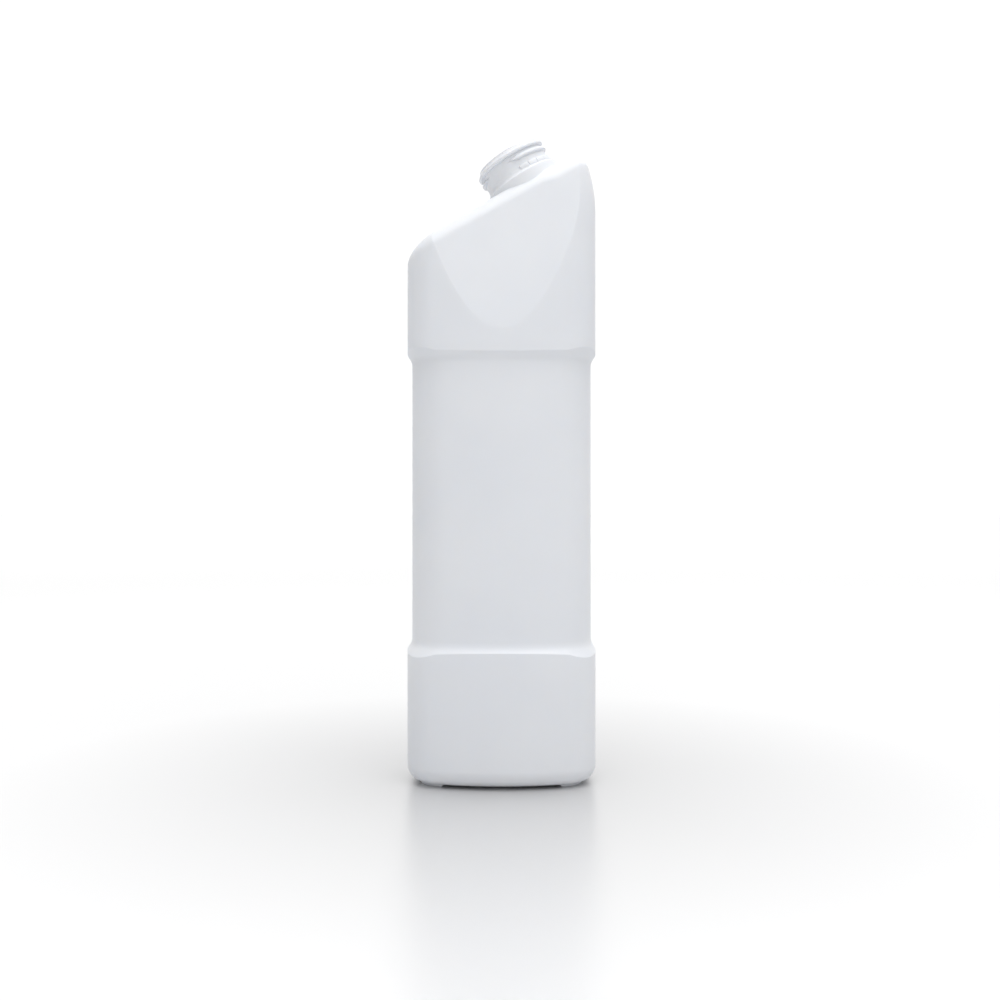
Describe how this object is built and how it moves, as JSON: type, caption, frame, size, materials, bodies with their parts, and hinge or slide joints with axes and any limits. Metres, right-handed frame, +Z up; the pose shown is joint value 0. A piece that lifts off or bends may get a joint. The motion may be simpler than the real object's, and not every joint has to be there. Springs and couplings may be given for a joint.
{
  "type": "toilet gel bottle",
  "caption": "Hollow blow-moulded bottle body, slab-sided with a recessed label panel, a slanted shoulder and a tilted screw neck with ratchet teeth; holds and pours thick liquid",
  "frame": {"origin": "middle of the base, on the plane the feet stand on", "axes": "+Z up the bottle, its longest extent; +X to the high side of the shoulder, the neck leans to -X; +Y to the back, the front faces -Y"},
  "size_m": [0.0778, 0.049, 0.2666],
  "materials": {
    "white_polymer": "cool white opaque plastic with a soft satin sheen, blow moulded"
  },
  "bodies": {
    "root": {"bottle": "white_polymer"}
  },
  "joints": []
}
